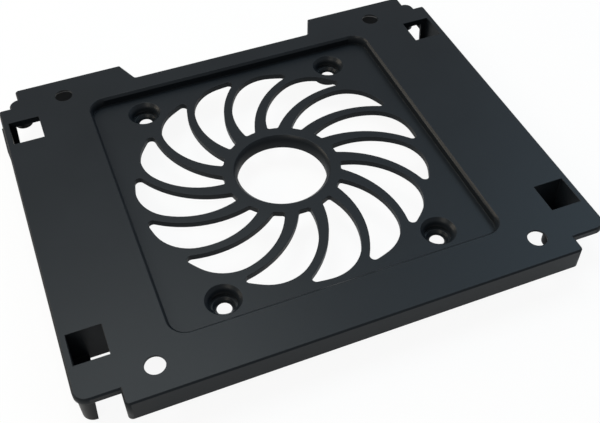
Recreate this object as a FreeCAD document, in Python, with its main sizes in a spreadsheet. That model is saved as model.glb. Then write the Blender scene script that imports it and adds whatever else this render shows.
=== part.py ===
import FreeCAD, Part
import Sketcher
import math
import os
import types

# A drive bay adapter bracket, moulded in one piece. It fills the width of a 5.25 inch bay,
# carries a 120 mm fan on top and a 2.5 inch drive underneath.
# Millimetres. X runs across the bay, Y from the front flange to the back, Z up.
# The origin lies on the fan axis, in the plane that the four legs stand on.

NODE = "bay_adapter_bracket"

SIZES = {
    # the plate and its outline
    "bay_width": 146.0,  # over the outer faces of the legs
    "depth": 121.1,  # from the front flange to the back edge
    "height": 12.6,  # from the legs' feet to the top face
    "plate_thickness": 2.0,
    "leg_overhang": 0.4,  # how far a leg stands out past the plate's side
    "front_corner_round": 3.5,
    "back_corner_round": 0.8,
    "front_step_depth": 4.8,  # from the front flange back to the corner tabs
    "front_tab_width": 10.8,  # from the end of the front flange to the plate's side
    "flange_end_round": 1.3,
    "flange_foot_chamfer": 0.5,  # along the lower edge of the front flange
    "back_step_depth": 7.9,  # from the back edge down to the corner tabs
    "back_tab_width": 6.3,  # from the end of the back flanges to the plate's side
    "back_tab_round": 1.0,
    "post_radius": 2.8,
    "post_inset": 7.3,  # back corner posts, from the back edge
    "notch_half_top": 32.8,
    "notch_half_bottom": 29.6,
    "notch_depth": 7.6,
    "notch_round": 1.0,
    "top_edge_chamfer": 0.4,
    # the recessed floor
    "recess_side": 92.0,
    "recess_depth": 2.83,
    "recess_round": 4.5,
    "recess_rim_chamfer": 0.7,
    "recess_wall": 2.0,
    "floor_thickness": 1.75,
    # the hub and the swirl of blades
    "hub_bore_radius": 13.15,
    "hub_wall": 1.1,
    "hub_rim_chamfer": 1.0,
    "blade_count": 15,
    "swirl_inner_radius": 17.2,
    "swirl_outer_radius": 42.6,
    "lead_radius": 22.4,  # convex edge of an opening
    "lead_reach": 28.2,  # its centre, out from the hub
    "lead_turn": -41.2,  # and round it, in degrees
    "trail_radius": 29.8,  # concave edge of an opening
    "trail_reach": 28.75,
    "trail_turn": -10.1,  # from the lead centre of the next opening
    "shoulder_round": 12.0,  # where the lead edge runs into the outer circle
    "tip_round": 1.3,
    "root_round": 0.7,
    # ribs, posts and flanges under the plate
    "rib_drop": 7.2,  # lower edge of the flanges, hub, bosses and posts below the top face
    "flange_thickness": 2.0,
    # the bosses for a 2.5 inch drive
    "drive_spacing_x": 61.72,
    "drive_spacing_y": 76.6,
    "drive_hole_radius": 2.05,
    "boss_radius": 4.65,
    "counterbore_radius": 3.75,
    "counterbore_floor_drop": 5.9,  # below the top face
    "counterbore_rim_chamfer": 1.2,
    "screw_seat_chamfer": 1.0,
    # the holes for a 120 mm fan
    "fan_spacing": 105.0,
    "fan_hole_radius": 2.65,
    "fan_hole_land": 0.5,  # straight length above the countersink
    "countersink_angle": 45.0,
    # the legs and their windows
    "leg_thickness": 4.3,
    "leg_inner_draft": 3.5,
    "leg_outer_draft": 1.5,
    "front_leg_inset": 0.4,  # from the plate's side
    "leg_corner_round": 3.0,  # on the front left leg
    "front_left_leg_start": -53.8,
    "front_right_leg_start": -46.6,
    "front_leg_end": -34.2,
    "back_leg_start": 36.0,
    "back_leg_end": 46.8,
    "gusset_thickness": 1.9,
    "gusset_length": 13.0,  # in from the leg's outer face
    "window_width": 9.1,
    "leg_outer_wall": 2.3,  # left of the leg beside a window
    "front_window_start": -45.5,
    "back_window_step": 0.2,  # from the back gusset's front face to the window's edge
    "back_window_end": 45.9,
    "lip_thickness": 1.6,
    "lip_width": 4.1,
    # the side ribs
    "side_rib_drop": 4.9,
    "side_rib_inset": 3.6,  # from the plate's side to the rib's inner face
    "side_rib_thickness": 1.8,
}


class Size:
    """A length or an angle: its value, and the sheet formula that drives it."""

    def __init__(self, value, formula):
        self.value = value
        self.formula = formula

    def joined(self, sign, other, value):
        return Size(value, f"({self.formula} {sign} {other.formula})")

    def __add__(self, other):
        other = as_size(other)
        return self.joined("+", other, self.value + other.value)

    def __sub__(self, other):
        other = as_size(other)
        return self.joined("-", other, self.value - other.value)

    def __mul__(self, other):
        other = as_size(other)
        return self.joined("*", other, self.value * other.value)

    def __truediv__(self, other):
        other = as_size(other)
        return self.joined("/", other, self.value / other.value)

    def __neg__(self):
        return Size(-self.value, f"(-1 * {self.formula})")

    __radd__ = __add__
    __rmul__ = __mul__


def as_size(number):
    return number if isinstance(number, Size) else Size(float(number), str(number))


def cosine(angle):
    return Size(math.cos(math.radians(angle.value)), f"cos({angle.formula})")


def sine(angle):
    return Size(math.sin(math.radians(angle.value)), f"sin({angle.formula})")


def tangent(angle):
    return Size(math.tan(math.radians(angle.value)), f"tan({angle.formula})")


doc = FreeCAD.newDocument(NODE)
sheet = doc.addObject("Spreadsheet::Sheet", "dims")
for row, (alias, number) in enumerate(SIZES.items(), start=1):
    sheet.set(f"A{row}", alias)
    sheet.set(f"B{row}", str(number))
    sheet.setAlias(f"B{row}", alias)
doc.recompute()
s = types.SimpleNamespace(**{alias: Size(number, f"dims.{alias}") for alias, number in SIZES.items()})

body = doc.addObject("PartDesign::Body", NODE)
body.Label = NODE
ORIGIN = {feature.Role: feature for feature in body.Origin.OriginFeatures}
BOTH_SIDES = (-1, 1)


def bind(thing, name, size):
    setattr(thing, name, size.value)
    thing.setExpression(name, size.formula)


def level_sketch(name, z):
    """A sketch parallel to the XY plane, at height z."""
    sketch = body.newObject("Sketcher::SketchObject", name)
    sketch.AttachmentSupport = (ORIGIN["XY_Plane"], [""])
    sketch.MapMode = "FlatFace"
    sketch.AttachmentOffset = FreeCAD.Placement(FreeCAD.Vector(0, 0, z.value), FreeCAD.Rotation())
    sketch.setExpression("AttachmentOffset.Base.z", z.formula)
    return sketch


def upright_sketch(name, y):
    """A sketch parallel to the XZ plane, at y; what is padded from it runs towards -Y."""
    sketch = body.newObject("Sketcher::SketchObject", name)
    sketch.AttachmentSupport = (ORIGIN["XZ_Plane"], [""])
    sketch.MapMode = "FlatFace"
    sketch.AttachmentOffset = FreeCAD.Placement(FreeCAD.Vector(0, 0, -y.value), FreeCAD.Rotation())
    sketch.setExpression("AttachmentOffset.Base.z", (-y).formula)
    return sketch


def drive(sketch, kind, ends, size):
    """A dimension in a sketch, bound to the sheet. A negative one is measured the other way."""
    if size.value < 0:
        ends = ends[2:] + ends[:2]
        size = -size
    index = sketch.addConstraint(Sketcher.Constraint(kind, *ends, size.value))
    sketch.setExpression(f"Constraints[{index}]", size.formula)


def place(sketch, geometry, point, x, y):
    """Fix a point of the sketch at (x, y) from its origin."""
    drive(sketch, "DistanceX", (-1, 1, geometry, point), as_size(x))
    drive(sketch, "DistanceY", (-1, 1, geometry, point), as_size(y))


def fix_radius(sketch, geometry, radius):
    index = sketch.addConstraint(Sketcher.Constraint("Radius", geometry, radius.value))
    sketch.setExpression(f"Constraints[{index}]", radius.formula)


def vector(x, y):
    return FreeCAD.Vector(as_size(x).value, as_size(y).value, 0)


def circle(sketch, x, y, radius):
    shape = Part.Circle(vector(x, y), FreeCAD.Vector(0, 0, 1), radius.value)
    index = sketch.addGeometry(shape, False)
    place(sketch, index, 3, x, y)
    fix_radius(sketch, index, radius)


def polygon(sketch, corners):
    """A closed outline of straight lines through the corners."""
    points = [vector(x, y) for x, y in corners]
    first = sketch.GeometryCount
    for start, end in zip(points, points[1:] + points[:1]):
        sketch.addGeometry(Part.LineSegment(start, end), False)
    for step, (x, y) in enumerate(corners):
        line = first + step
        before = first + (step - 1) % len(corners)
        sketch.addConstraint(Sketcher.Constraint("Coincident", before, 2, line, 1))
        place(sketch, line, 1, x, y)


def rectangle(sketch, x0, x1, y0, y1):
    polygon(sketch, [(x0, y0), (x1, y0), (x1, y1), (x0, y1)])


def finish(feature, grows):
    """Recompute, and stop if the feature changed the volume the wrong way."""
    before = feature.BaseFeature.Shape.Volume if feature.BaseFeature else 0.0
    doc.recompute()
    change = feature.Shape.Volume - before
    if (change > 0) != grows or "Invalid" in feature.State:
        raise RuntimeError(f"{feature.Name} changed the volume by {change:.3f}")
    return feature


def pad(sketch, length):
    """Add material along the sketch's normal: upwards from a level sketch."""
    feature = body.newObject("PartDesign::Pad", f"{sketch.Name}_pad")
    feature.Profile = sketch
    bind(feature, "Length", length)
    sketch.Visibility = False
    return finish(feature, grows=True)


def pocket(sketch, length, taper=None):
    """Cut against the sketch's normal: downwards from a level sketch."""
    feature = body.newObject("PartDesign::Pocket", f"{sketch.Name}_pocket")
    feature.Profile = sketch
    bind(feature, "Length", length)
    if taper is not None:
        bind(feature, "TaperAngle", taper)
    sketch.Visibility = False
    return finish(feature, grows=False)


def dress(kind, measure, name, size, wanted, grows):
    """Put a round or a chamfer on the edges of the body that the test picks out."""
    base = body.Tip
    edges = [f"Edge{i}" for i, edge in enumerate(base.Shape.Edges, start=1) if wanted(edge)]
    if not edges:
        raise RuntimeError(f"{name} found no edge")
    feature = body.newObject(kind, name)
    feature.Base = (base, edges)
    bind(feature, measure, size)
    return finish(feature, grows)


def fillet(name, radius, wanted, grows=False):
    return dress("PartDesign::Fillet", "Radius", name, radius, wanted, grows)


def chamfer(name, size, wanted):
    return dress("PartDesign::Chamfer", "Size", name, size, wanted, grows=False)


TOLERANCE = 0.01


def near(value, target):
    return abs(value - target) < TOLERANCE


def upright_at(places):
    """A test for the vertical edges that stand at any of the (x, y) places."""
    spots = [(as_size(x).value, as_size(y).value) for x, y in places]

    def wanted(edge):
        start, end = edge.Vertexes[0].Point, edge.Vertexes[-1].Point
        if not (near(start.x, end.x) and near(start.y, end.y)) or near(start.z, end.z):
            return False
        return any(near(start.x, x) and near(start.y, y) for x, y in spots)

    return wanted


def ring_at(z, radius, places):
    """A test for the circles of one radius at height z whose centres are the places."""
    spots = [(as_size(x).value, as_size(y).value) for x, y in places]

    def wanted(edge):
        if edge.Curve.TypeId != "Part::GeomCircle" or not near(edge.Curve.Radius, radius.value):
            return False
        centre = edge.Curve.Center
        if not near(edge.Vertexes[0].Point.z, z.value):
            return False
        return any(near(centre.x, x) and near(centre.y, y) for x, y in spots)

    return wanted


# Levels and lines that several features share
top = s.height
plate_under = top - s.plate_thickness
floor_top = top - s.recess_depth
floor_under = floor_top - s.floor_thickness
rib_under = top - s.rib_drop
leg_outer = s.bay_width / 2
side = leg_outer - s.leg_overhang
front = -s.depth / 2
back = s.depth / 2
front_step = front + s.front_step_depth
back_step = back - s.back_step_depth
post_y = back - s.post_inset
notch_bottom = back - s.notch_depth
flange_end = side - s.front_tab_width
back_tab_end = side - s.back_tab_width
front_gusset = (s.front_leg_end - s.gusset_thickness, s.front_leg_end)
back_gusset = (s.back_leg_start, s.back_leg_start + s.gusset_thickness)
window_outer = leg_outer - s.leg_outer_wall
window_inner = window_outer - s.window_width


def plate():
    """The plate's outline with its stepped corners and the notch at the back."""
    sketch = level_sketch("plate_outline", plate_under)
    right = [
        (flange_end, front),
        (flange_end, front_step),
        (side, front_step),
        (side, back_step),
        (back_tab_end, back_step),
        (back_tab_end, back),
        (s.notch_half_top, back),
        (s.notch_half_bottom, notch_bottom),
    ]
    left = [(-x, y) for x, y in reversed(right)]
    polygon(sketch, right + left)
    pad(sketch, s.plate_thickness)


def flanges():
    """The flange along the front and the two at the back."""
    sketch = level_sketch("front_flange", rib_under)
    rectangle(sketch, -flange_end, flange_end, front, front + s.flange_thickness)
    pad(sketch, plate_under - rib_under)
    sketch = level_sketch("back_flanges", rib_under)
    for hand in BOTH_SIDES:
        rectangle(sketch, hand * s.notch_half_top, hand * back_tab_end, back - s.flange_thickness, back)
    pad(sketch, plate_under - rib_under)


def outline_rounds():
    """The vertical corners of the plate and its flanges."""
    fillet("front_corners", s.front_corner_round, upright_at([(h * side, front_step) for h in BOTH_SIDES]))
    ends = [(h * flange_end, front) for h in BOTH_SIDES]
    fillet("flange_ends", s.flange_end_round, upright_at(ends))
    fillet("back_corners", s.back_corner_round, upright_at([(h * side, back_step) for h in BOTH_SIDES]))
    ends = [(h * back_tab_end, back) for h in BOTH_SIDES]
    fillet("back_tab_ends", s.back_tab_round, upright_at(ends))
    inner = [(h * s.notch_half_bottom, notch_bottom) for h in BOTH_SIDES]
    fillet("notch_corners", s.notch_round, upright_at(inner), grows=True)


def posts():
    """Round posts that bulge out of the outline beside the back tabs."""
    sketch = level_sketch("back_posts", rib_under)
    for hand in BOTH_SIDES:
        circle(sketch, hand * back_tab_end, post_y, s.post_radius)
    pad(sketch, s.rib_drop)


def flange_foot():
    """The sloped lower edge of the front flange."""

    def outer_foot(edge):
        box = edge.BoundBox
        low = near(box.ZMin, rib_under.value) and near(box.ZMax, rib_under.value)
        return low and near(box.YMin, front.value)

    chamfer("flange_foot", s.flange_foot_chamfer, outer_foot)


def top_edges():
    """The soft upper edge all round the plate, made before anything opens its top face."""
    chamfer("top_edges", s.top_edge_chamfer, level_rim)


def rounded_square(sketch, half, radius):
    """A square about the origin with its corners rounded."""
    corners = [(1, -1), (1, 1), (-1, 1), (-1, -1)]
    arcs = []
    lines = []
    for step, (across, along) in enumerate(corners):
        centre = vector(across * (half - radius), along * (half - radius))
        turn = math.radians(90 * (step - 1))
        arc = Part.ArcOfCircle(Part.Circle(centre, FreeCAD.Vector(0, 0, 1), radius.value), turn, turn + math.pi / 2)
        arcs.append(sketch.addGeometry(arc, False))
    for step, arc in enumerate(arcs):
        following = arcs[(step + 1) % len(arcs)]
        start = sketch.getPoint(arc, 2)
        end = sketch.getPoint(following, 1)
        lines.append(sketch.addGeometry(Part.LineSegment(start, end), False))
    for step, arc in enumerate(arcs):
        sketch.addConstraint(Sketcher.Constraint("Tangent", arc, 2, lines[step], 1))
        sketch.addConstraint(Sketcher.Constraint("Tangent", lines[step - 1], 2, arc, 1))
        across, along = corners[step]
        place(sketch, arc, 3, across * (half - radius), along * (half - radius))
    fix_radius(sketch, arcs[0], radius)


def pan():
    """The square pan under the plate that holds the floor."""
    sketch = level_sketch("pan_outline", floor_under)
    rounded_square(sketch, s.recess_side / 2 + s.recess_wall, s.recess_round + s.recess_wall)
    pad(sketch, plate_under - floor_under)


def hub_and_bosses():
    """The hub's tube and the four drive bosses, down to the level of the flanges."""
    sketch = level_sketch("hub_tube", rib_under)
    circle(sketch, 0, 0, s.hub_bore_radius + s.hub_wall)
    pad(sketch, floor_under - rib_under)
    sketch = level_sketch("drive_bosses", rib_under)
    for x, y in drive_holes():
        circle(sketch, x, y, s.boss_radius)
    pad(sketch, floor_under - rib_under)


def drive_holes():
    return [(h * s.drive_spacing_x / 2, v * s.drive_spacing_y / 2) for h in BOTH_SIDES for v in BOTH_SIDES]


def fan_holes():
    return [(h * s.fan_spacing / 2, v * s.fan_spacing / 2) for h in BOTH_SIDES for v in BOTH_SIDES]


def legs():
    """Four legs with drafted faces; the front left one is the longest and has a round corner."""
    front_outer = side - s.front_leg_inset
    inner_draft = plate_under * tangent(s.leg_inner_draft)
    outer_draft = plate_under * tangent(s.leg_outer_draft)
    for name, hand, outer, start, end in (
        ("front_left_leg", -1, front_outer, s.front_left_leg_start, s.front_leg_end),
        ("front_right_leg", 1, front_outer, s.front_right_leg_start, s.front_leg_end),
        ("back_left_leg", -1, leg_outer, s.back_leg_start, s.back_leg_end),
        ("back_right_leg", 1, leg_outer, s.back_leg_start, s.back_leg_end),
    ):
        sketch = upright_sketch(name, end)
        inner = outer - s.leg_thickness
        foot = [(hand * (inner + inner_draft), 0), (hand * (outer - outer_draft), 0)]
        head = [(hand * outer, plate_under), (hand * inner, plate_under)]
        polygon(sketch, foot + head)
        pad(sketch, end - start)

    def longest_leg_corner(edge):
        box = edge.BoundBox
        at_front = near(box.YMin, s.front_left_leg_start.value) and near(box.YMax, s.front_left_leg_start.value)
        return at_front and near(box.XMin, -front_outer.value) and near(box.ZMin, 0)

    fillet("leg_corner", s.leg_corner_round, longest_leg_corner)


def gussets():
    """A web across the inner end of each leg, down to the feet."""
    sketch = level_sketch("gussets", as_size(0))
    gusset_inner = leg_outer - s.gusset_length
    for hand in BOTH_SIDES:
        for near_y, far_y in (front_gusset, back_gusset):
            rectangle(sketch, hand * gusset_inner, hand * window_outer, near_y, far_y)
    pad(sketch, plate_under)


def side_ribs():
    """A low rib along each side, from leg to leg and on to the back corner post."""
    sketch = level_sketch("side_ribs", top - s.side_rib_drop)
    inner = side - s.side_rib_inset
    outer = inner + s.side_rib_thickness
    for hand in BOTH_SIDES:
        rectangle(sketch, hand * inner, hand * outer, s.front_leg_end, s.back_leg_start)
        rectangle(sketch, hand * inner, hand * outer, s.back_leg_end, back_step)
    pad(sketch, plate_under - top + s.side_rib_drop)


def window_rectangles(sketch, inner, spans):
    for hand in BOTH_SIDES:
        for start, end in spans:
            rectangle(sketch, hand * inner, hand * window_outer, start, end)


def windows():
    """Openings beside the legs, each with a well down to a lip along the leg's foot."""
    front_span = (s.front_window_start, front_gusset[0])
    sketch = level_sketch("lips", as_size(0))
    window_rectangles(sketch, window_outer - s.lip_width, (front_span, (back_gusset[1], s.back_window_end)))
    pad(sketch, s.lip_thickness)
    sketch = level_sketch("wells", plate_under)
    window_rectangles(sketch, window_inner, (front_span, (back_gusset[1], s.back_window_end)))
    pocket(sketch, plate_under - s.lip_thickness)
    sketch = level_sketch("windows", top)
    back_opening = (back_gusset[0] + s.back_window_step, s.back_window_end)
    window_rectangles(sketch, window_inner, (front_span, back_opening))
    pocket(sketch, s.plate_thickness)


def recess():
    """The square recess in the top."""
    sketch = level_sketch("recess_outline", top)
    rounded_square(sketch, s.recess_side / 2, s.recess_round)
    pocket(sketch, s.recess_depth)


class Edge:
    """A circle that bounds an opening, which lies inside it or outside it."""

    def __init__(self, radius, x, y, inside):
        self.radius = radius
        self.x = as_size(x)
        self.y = as_size(y)
        self.side = -1 if inside else 1

    def reach(self, rounding):
        """How far the centre of a round that touches this edge lies from its centre."""
        return self.radius.value + self.side * rounding.value

    def touch(self, centre):
        """Where a round about the given centre touches this edge."""
        middle = vector(self.x, self.y)
        return middle + (centre - middle).normalize() * self.radius.value


def round_centre(one, other, rounding, turn):
    """The centre of the round between two edges; turn picks the crossing."""
    start = vector(one.x, one.y)
    along = vector(other.x, other.y) - start
    gap = along.Length
    reach = one.reach(rounding)
    run = (gap ** 2 + reach ** 2 - other.reach(rounding) ** 2) / (2 * gap)
    rise = math.sqrt(reach ** 2 - run ** 2)
    along.normalize()
    across = FreeCAD.Vector(-along.y, along.x, 0)
    return start + along * run + across * (turn * rise)


def angle_from(centre, point):
    return math.atan2(point.y - centre.y, point.x - centre.x)


def arc_between(sketch, centre, radius, start, end, anticlockwise):
    """An arc about the centre; returns its index and which of its ends comes first."""
    base = Part.Circle(centre, FreeCAD.Vector(0, 0, 1), radius.value)
    low, high = (start, end) if anticlockwise else (end, start)
    first, last = angle_from(centre, low), angle_from(centre, high)
    if last < first:
        last += 2 * math.pi
    index = sketch.addGeometry(Part.ArcOfCircle(base, first, last), False)
    return index, (1, 2) if anticlockwise else (2, 1)


def swirl_opening(sketch):
    """One opening between two blades: four arcs joined by four rounds, walked clockwise."""
    pitch = as_size(360) / s.blade_count
    trail_angle = s.lead_turn - pitch + s.trail_turn
    lead = Edge(s.lead_radius, s.lead_reach * cosine(s.lead_turn), s.lead_reach * sine(s.lead_turn), True)
    outer = Edge(s.swirl_outer_radius, 0, 0, True)
    trail_x, trail_y = s.trail_reach * cosine(trail_angle), s.trail_reach * sine(trail_angle)
    trail = Edge(s.trail_radius, trail_x, trail_y, False)
    inner = Edge(s.swirl_inner_radius, 0, 0, False)
    joins = [
        (lead, outer, s.shoulder_round, -1),
        (outer, trail, s.tip_round, 1),
        (trail, inner, s.root_round, -1),
        (inner, lead, s.root_round, 1),
    ]
    centres = [round_centre(one, other, rounding, turn) for one, other, rounding, turn in joins]
    pieces = []
    for step, (edge, following, rounding, _) in enumerate(joins):
        start = edge.touch(centres[step - 1])
        end = edge.touch(centres[step])
        index, ends = arc_between(sketch, vector(edge.x, edge.y), edge.radius, start, end, edge.side > 0)
        place(sketch, index, 3, edge.x, edge.y)
        fix_radius(sketch, index, edge.radius)
        pieces.append((index, ends))
        start, end = end, following.touch(centres[step])
        index, ends = arc_between(sketch, centres[step], rounding, start, end, False)
        fix_radius(sketch, index, rounding)
        pieces.append((index, ends))
    for (index, ends), (following, following_ends) in zip(pieces, pieces[1:] + pieces[:1]):
        sketch.addConstraint(Sketcher.Constraint("Tangent", index, ends[1], following, following_ends[0]))


def swirl():
    """The ring of curved openings round the hub."""
    sketch = level_sketch("swirl_opening", floor_top)
    swirl_opening(sketch)
    opening = pocket(sketch, s.floor_thickness)
    pattern = body.newObject("PartDesign::PolarPattern", "swirl_pattern")
    pattern.Originals = [opening]
    pattern.Axis = (ORIGIN["Z_Axis"], [""])
    pattern.Angle = 360
    bind(pattern, "Occurrences", s.blade_count)
    body.Tip = pattern
    doc.recompute()


def hub_bore():
    """The bore through the hub with its sloped rim."""
    sketch = level_sketch("hub_bore", floor_top)
    circle(sketch, 0, 0, s.hub_bore_radius)
    pocket(sketch, floor_top - rib_under)
    chamfer("hub_rim", s.hub_rim_chamfer, ring_at(floor_top, s.hub_bore_radius, [(0, 0)]))


def drive_screws():
    """Counterbores with sloped rims, and the screw holes with their conical seats below them."""
    holes = drive_holes()
    counterbore_floor = top - s.counterbore_floor_drop
    sketch = level_sketch("counterbores", floor_top)
    for x, y in holes:
        circle(sketch, x, y, s.counterbore_radius)
    pocket(sketch, floor_top - counterbore_floor)
    rims = ring_at(floor_top, s.counterbore_radius, holes)
    chamfer("counterbore_rims", s.counterbore_rim_chamfer, rims)
    sketch = level_sketch("drive_screw_holes", counterbore_floor)
    for x, y in holes:
        circle(sketch, x, y, s.drive_hole_radius)
    pocket(sketch, counterbore_floor - rib_under)
    chamfer("screw_seats", s.screw_seat_chamfer, ring_at(counterbore_floor, s.drive_hole_radius, holes))


def fan_screws():
    """The fan's screw holes, countersunk from below."""
    sketch = level_sketch("fan_screw_holes", top)
    for x, y in fan_holes():
        circle(sketch, x, y, s.fan_hole_radius)
    pocket(sketch, s.fan_hole_land)
    sketch = level_sketch("fan_countersinks", top - s.fan_hole_land)
    for x, y in fan_holes():
        circle(sketch, x, y, s.fan_hole_radius)
    pocket(sketch, s.plate_thickness - s.fan_hole_land, s.countersink_angle)


def level_rim(edge):
    """The furthest reach of an edge that lies in the top face, or None for any other edge."""
    box = edge.BoundBox
    if not near(box.ZMin, top.value) or not near(box.ZMax, top.value):
        return None
    return max(abs(box.XMin), abs(box.XMax), abs(box.YMin), abs(box.YMax))


def recess_rim():
    """The sloped upper edge of the recess."""
    reach = s.recess_side.value / 2 + TOLERANCE
    chamfer("recess_rim", s.recess_rim_chamfer, lambda edge: level_rim(edge) and level_rim(edge) < reach)


plate()
flanges()
outline_rounds()
flange_foot()
posts()
top_edges()
pan()
hub_and_bosses()
legs()
gussets()
side_ribs()
windows()
recess()
swirl()
hub_bore()
drive_screws()
fan_screws()
recess_rim()

doc.recompute()
for thing in doc.Objects:
    if "Invalid" in thing.State or "Error" in thing.State:
        raise RuntimeError(f"{thing.Name} failed: {thing.State}")
if body.Shape.isNull() or not body.Shape.isValid() or len(body.Shape.Solids) != 1:
    raise RuntimeError("the bracket is not one valid solid")

os.makedirs("parts", exist_ok=True)
body.Shape.exportStep(f"parts/{body.Label}.step")
print(f"{body.Label}: volume {body.Shape.Volume:.1f} mm3, box {body.Shape.BoundBox}")
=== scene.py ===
# %% [markdown]
# # A drive bay adapter bracket
# The real object is one thin moulding of black plastic. It spans the width of a computer's
# drive bay, carries a fan over the swirl of blades in its middle, and holds a small drive below.
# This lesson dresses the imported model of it: it gives the plastic its grain and soft edges, adds
# the two posts that the model lacks, and sets up the floor, the lamps and the camera.

import math

import bmesh
import bpy
from mathutils import Matrix, Vector


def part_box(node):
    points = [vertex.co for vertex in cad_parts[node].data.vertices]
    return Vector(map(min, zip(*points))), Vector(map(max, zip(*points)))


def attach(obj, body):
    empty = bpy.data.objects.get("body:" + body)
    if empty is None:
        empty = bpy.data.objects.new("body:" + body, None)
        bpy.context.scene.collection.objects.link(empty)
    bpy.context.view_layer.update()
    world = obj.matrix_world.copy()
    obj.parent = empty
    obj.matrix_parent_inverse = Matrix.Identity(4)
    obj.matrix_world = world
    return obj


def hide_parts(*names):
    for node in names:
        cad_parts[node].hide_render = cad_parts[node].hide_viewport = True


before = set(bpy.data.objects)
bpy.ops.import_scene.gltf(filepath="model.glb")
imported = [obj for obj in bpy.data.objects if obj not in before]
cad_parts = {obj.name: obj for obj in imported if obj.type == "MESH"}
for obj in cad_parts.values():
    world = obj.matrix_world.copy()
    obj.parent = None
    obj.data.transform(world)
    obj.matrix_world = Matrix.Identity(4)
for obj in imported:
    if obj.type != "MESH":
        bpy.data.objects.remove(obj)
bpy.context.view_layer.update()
NODE = "bay_adapter_bracket"
MM = 0.001
low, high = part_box(NODE)
print("bracket from", [round(v / MM, 2) for v in low], "to", [round(v / MM, 2) for v in high])

# %% [markdown]
# ## Writing shader maths as Python
# A material is a graph of nodes. Wiring maths nodes by hand soon hides the idea behind them, so
# one small class wraps a node's output and turns Python's operators into maths nodes. Another
# keeps the graph of one material or of the world, and makes every other kind of node.

# %% Helpers for materials


class Wire:
    """The output of a node, on which plain arithmetic makes more nodes."""

    def __init__(self, graph, socket):
        self.graph = graph
        self.socket = socket

    def maths(self, operation, first, second):
        return self.graph.node("ShaderNodeMath", {"operation": operation}, {0: first, 1: second})["Value"]

    def __add__(self, other):
        return self.maths("ADD", self, other)

    def __sub__(self, other):
        return self.maths("SUBTRACT", self, other)

    def __rsub__(self, other):
        return self.maths("SUBTRACT", other, self)

    def __mul__(self, other):
        return self.maths("MULTIPLY", self, other)

    __radd__ = __add__
    __rmul__ = __mul__


class Graph:
    """The node tree of one material or of the world."""

    def __init__(self, owner):
        owner.use_nodes = True
        self.tree = owner.node_tree
        self.tree.nodes.clear()

    def node(self, kind, settings=None, sockets=None):
        """Make a node; its settings come first, because they can change its sockets."""
        made = self.tree.nodes.new(kind)
        for name, value in (settings or {}).items():
            setattr(made, name, value)
        for name, value in (sockets or {}).items():
            if isinstance(value, Wire):
                self.tree.links.new(value.socket, made.inputs[name])
            else:
                made.inputs[name].default_value = value
        return {output.name: Wire(self, output) for output in made.outputs if output.enabled}

    def mix_colour(self, factor, one, other):
        """Blend two colours."""
        sockets = {"Factor": factor, "A": (*one, 1), "B": (*other, 1)}
        made = self.tree.nodes.new("ShaderNodeMix")
        made.data_type = "RGBA"
        for socket in made.inputs:
            value = sockets.get(socket.name)
            if value is None or not socket.enabled:
                continue
            if isinstance(value, Wire):
                self.tree.links.new(value.socket, socket)
            else:
                socket.default_value = value
        return Wire(self, next(output for output in made.outputs if output.enabled))


print("material helpers are ready")

# %% [markdown]
# ## The moulded plastic
# The real plastic is nearly black, a little blue, and satin: the mould was spark-eroded, which
# leaves a fine even grain that spreads every highlight. The grain could be real geometry, but it
# is a tenth of a millimetre across, so it is a bump in the shader. A second, much broader noise
# shifts colour and gloss a little, as the flow of the plastic in the mould does. The plastic is
# so dark that most of what the camera sees of it is the sheen of the lamps.

# %% Make the plastic
PLASTIC_DARK = (0.0047, 0.0064, 0.0084)
PLASTIC_LIGHT = (0.0085, 0.0114, 0.0148)
GRAIN_SIZE = 0.35 * MM
GRAIN_HEIGHT = 0.012 * MM
GRAIN_STRENGTH = 0.5
GRAIN_SHARE = 0.3  # of the colour's change that follows the grain
FLOW_SIZE = 22 * MM
FLOW_SHARE = 0.7
SATIN = 0.37
SATIN_SPREAD = 0.07
PLASTIC_IOR = 1.5
SHEEN_LEVEL = 0.165
EDGE_SOFTNESS = 0.22 * MM
EDGE_SAMPLES = 6
MIDDLE = 0.5  # of what a noise gives


def noise(graph, place, size, detail, roughness):
    """A noise through the solid, whose lumps have the given size."""
    sockets = {"Vector": place, "Scale": 1 / size, "Detail": detail, "Roughness": roughness}
    return graph.node("ShaderNodeTexNoise", None, sockets)["Fac"]


def moulded_plastic():
    material = bpy.data.materials.new("moulded_plastic")
    graph = Graph(material)
    place = graph.node("ShaderNodeTexCoord")["Object"]
    grain = noise(graph, place, GRAIN_SIZE, detail=3.0, roughness=0.6)
    flow = noise(graph, place, FLOW_SIZE, detail=2.0, roughness=0.5)
    bevel = graph.node("ShaderNodeBevel", {"samples": EDGE_SAMPLES}, {"Radius": EDGE_SOFTNESS})
    surface = graph.node(
        "ShaderNodeBump",
        None,
        {"Strength": GRAIN_STRENGTH, "Distance": GRAIN_HEIGHT, "Height": grain, "Normal": bevel["Normal"]},
    )["Normal"]
    tone = flow * FLOW_SHARE + grain * GRAIN_SHARE
    shader = graph.node(
        "ShaderNodeBsdfPrincipled",
        None,
        {
            "Base Color": graph.mix_colour(tone, PLASTIC_DARK, PLASTIC_LIGHT),
            "Roughness": SATIN + SATIN_SPREAD * (flow - MIDDLE),
            "Normal": surface,
            "IOR": PLASTIC_IOR,
            "Specular IOR Level": SHEEN_LEVEL,
        },
    )["BSDF"]
    graph.node("ShaderNodeOutputMaterial", None, {"Surface": shader})
    return material


plastic = moulded_plastic()
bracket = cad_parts[NODE]
bracket.data.materials.clear()
bracket.data.materials.append(plastic)
print("bracket has", len(bracket.data.polygons), "faces and the material", plastic.name)

# %% [markdown]
# ## Two posts that one hole gives away
# Through the front right fan hole the photograph shows the side of a round post that stands
# under the plate. The real thing is one moulding, so the posts are united with a copy of the whole
# bracket, and the copy takes the bracket's place. The posts end level with the flanges.

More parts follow.
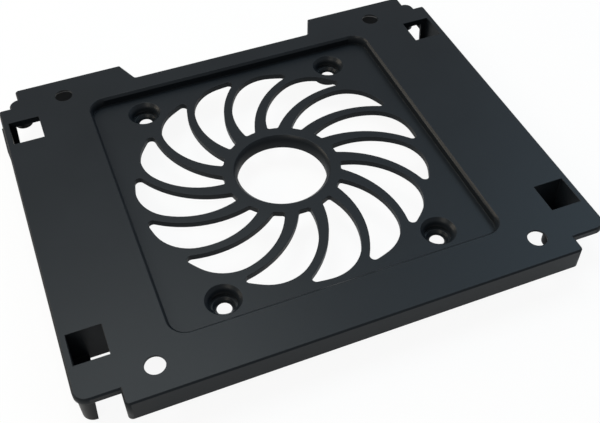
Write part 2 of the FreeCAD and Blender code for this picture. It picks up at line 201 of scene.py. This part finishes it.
# %% Add the front posts
POST_RADIUS = 2.8 * MM
POST_PLACE = Vector((60.1 * MM, -50.2 * MM))
POST_FOOT = 5.4 * MM
POST_HEAD = 11.6 * MM  # inside the plate, so that the union has no gap
POST_SIDES = 48


def front_posts():
    """Both round posts, as one helper object."""
    shape = bmesh.new()
    for hand in (-1, 1):
        middle = Vector((hand * POST_PLACE.x, POST_PLACE.y, (POST_FOOT + POST_HEAD) / 2))
        bmesh.ops.create_cone(
            shape,
            cap_ends=True,
            segments=POST_SIDES,
            radius1=POST_RADIUS,
            radius2=POST_RADIUS,
            depth=POST_HEAD - POST_FOOT,
            matrix=Matrix.Translation(middle),
        )
    mesh = bpy.data.meshes.new("front_posts")
    shape.to_mesh(mesh)
    shape.free()
    made = bpy.data.objects.new("front_posts", mesh)
    bpy.context.collection.objects.link(made)
    return made


def bracket_with_posts():
    """A copy of the bracket, united with the posts, that stands in for the bare one."""
    posts = front_posts()
    whole = bpy.data.objects.new("bracket_moulding", bracket.data.copy())
    bpy.context.collection.objects.link(whole)
    union = whole.modifiers.new("union", "BOOLEAN")
    union.operation = "UNION"
    union.solver = "EXACT"
    union.object = posts
    depsgraph = bpy.context.evaluated_depsgraph_get()
    mesh = bpy.data.meshes.new_from_object(whole.evaluated_get(depsgraph))
    whole.modifiers.clear()
    whole.data = mesh
    bpy.data.objects.remove(posts)
    mesh.materials.clear()
    mesh.materials.append(plastic)
    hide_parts(NODE)
    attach(whole, "root")
    return whole


moulding = bracket_with_posts()
print("moulding has", len(moulding.data.polygons), "faces")

# %% [markdown]
# ## The floor and the world
# The photograph shows the bracket on pure white. A white floor lit only by lamps would turn grey
# in the bracket's shadow and show dark through every opening, so the floor also glows softly
# to the camera, and keeps a share of real shading for the shadow.

# %% Lay the floor and light the world
FLOOR_HALF = 6.0  # metres from its middle to its sides
FLOOR_GAP = 0.1 * MM  # keeps the feet from lying in the same plane as the floor
FLOOR_GLOW = 0.92
FLOOR_WHITE = (0.9, 0.9, 0.9, 1)
WORLD_FILL = 0.21
WORLD_TINT = (0.93, 0.96, 1.0, 1)
WHITE = (1, 1, 1, 1)
MIRRORED_WHITE = 0.4  # of the white that the plastic's sheen mirrors; all of it would grey the black


def seen_directly(graph):
    """1 for the rays that should find plain white, and less for those that mirror it."""
    path = graph.node("ShaderNodeLightPath")
    mirrored = path["Is Glossy Ray"] * MIRRORED_WHITE
    clear = (1 - path["Is Camera Ray"]) * (1 - mirrored) * (1 - path["Is Transmission Ray"])
    return 1 - clear


def white_floor():
    material = bpy.data.materials.new("white_floor")
    graph = Graph(material)
    lit = graph.node("ShaderNodeBsdfDiffuse", None, {"Color": FLOOR_WHITE})["BSDF"]
    glow = graph.node("ShaderNodeEmission", None, {"Color": WHITE, "Strength": 1.0})["Emission"]
    share = FLOOR_GLOW * seen_directly(graph)
    mixed = graph.node("ShaderNodeMixShader", None, {0: share, 1: lit, 2: glow})["Shader"]
    graph.node("ShaderNodeOutputMaterial", None, {"Surface": mixed})
    return material


def floor():
    mesh = bpy.data.meshes.new("floor")
    shape = bmesh.new()
    bmesh.ops.create_grid(shape, x_segments=1, y_segments=1, size=FLOOR_HALF)
    bmesh.ops.translate(shape, verts=shape.verts, vec=(0, 0, low.z - FLOOR_GAP))
    shape.to_mesh(mesh)
    shape.free()
    mesh.materials.append(white_floor())
    made = bpy.data.objects.new("floor", mesh)
    bpy.context.collection.objects.link(made)
    return made


def white_world():
    world = bpy.data.worlds.new("studio")
    graph = Graph(world)
    fill = graph.node("ShaderNodeBackground", None, {"Color": WORLD_TINT, "Strength": WORLD_FILL})
    plain = graph.node("ShaderNodeBackground", None, {"Color": WHITE, "Strength": 1.0})
    factor = seen_directly(graph)
    mixed = graph.node(
        "ShaderNodeMixShader", None, {0: factor, 1: fill["Background"], 2: plain["Background"]}
    )["Shader"]
    graph.node("ShaderNodeOutputWorld", None, {"Surface": mixed})
    bpy.context.scene.world = world


white_world()
print("floor made:", floor().name)

# %% [markdown]
# ## The lamps
# Satin plastic shows where its light comes from as broad gradients, not as sharp spots. A cool
# softbox stands high behind the bracket and mirrors towards the camera in the front of the top
# face, so that the face grows darker towards the back. A blue one on the right lifts the front
# right corner. Two warm ones on the left catch the rims of the recess, the hub and the bosses.
# Together they light the top face at a plain level: a grey card there renders as it is written.

# %% Hang the lamps
TOP_CENTRE = Vector((0, 0, high.z))
LAMP_DISTANCE = 0.9

SOFTBOXES = {
    # name: direction from the bracket, side of the square, watts, colour
    "top_softbox": ((-0.05, 0.36, 0.92), 0.45, 3.64, (0.90, 0.98, 1.0)),
    "right_softbox": ((0.8, 0.35, 1.0), 0.45, 2.0, (0.55, 0.80, 1.0)),
    "left_softbox": ((-0.7, 0.5, 0.45), 0.45, 3.85, (1.0, 0.88, 0.7)),
    "front_softbox": ((-0.6, -0.45, 0.65), 0.35, 1.96, (1.0, 0.93, 0.8)),
}


def softbox(name, direction, size, watts, colour):
    """A square area lamp that looks at the bracket's middle from the given direction."""
    light = bpy.data.lights.new(name, "AREA")
    light.size = size
    light.energy = watts
    light.color = colour
    lamp = bpy.data.objects.new(name, light)
    away = Vector(direction).normalized()
    turn = away.to_track_quat("Z", "Y").to_matrix().to_4x4()
    lamp.matrix_world = Matrix.Translation(TOP_CENTRE + away * LAMP_DISTANCE) @ turn
    bpy.context.collection.objects.link(lamp)


for name, (direction, size, watts, colour) in SOFTBOXES.items():
    softbox(name, direction, size, watts, colour)

# %% [markdown]
# ## The camera
# Straight edges and round holes of known size in a photograph fix where its camera stood. The
# bracket was seen from the front left, looking down at about 48 degrees, with a short telephoto
# lens. The small shift is there because the picture was cropped a little off its centre.

# %% Place the camera
CAMERA_PLACE = (-61.93 * MM, -168.79 * MM, 191.15 * MM)
HEADING = 21.171  # degrees from +Y towards +X
TILT_DOWN = 48.148
ROLL = -0.656
LENS = 52.609
SENSOR = 36.0
SHIFT = (0.01082, 0.00113)


def photograph_camera():
    data = bpy.data.cameras.new("camera")
    data.sensor_width = SENSOR
    data.lens = LENS
    data.shift_x, data.shift_y = SHIFT
    made = bpy.data.objects.new("camera", data)
    heading = Matrix.Rotation(math.radians(-HEADING), 4, "Z")
    tilt = Matrix.Rotation(math.radians(90 - TILT_DOWN), 4, "X")
    roll = Matrix.Rotation(math.radians(ROLL), 4, "Z")
    made.matrix_world = Matrix.Translation(CAMERA_PLACE) @ heading @ tilt @ roll
    bpy.context.collection.objects.link(made)
    bpy.context.scene.camera = made
    return made


print("camera at", [round(v / MM, 1) for v in photograph_camera().matrix_world.translation])

# %% [markdown]
# ## Finish
# The view is left plain, so that colours come out as they are written.

# %% Finish
bpy.context.scene.view_settings.view_transform = "Standard"
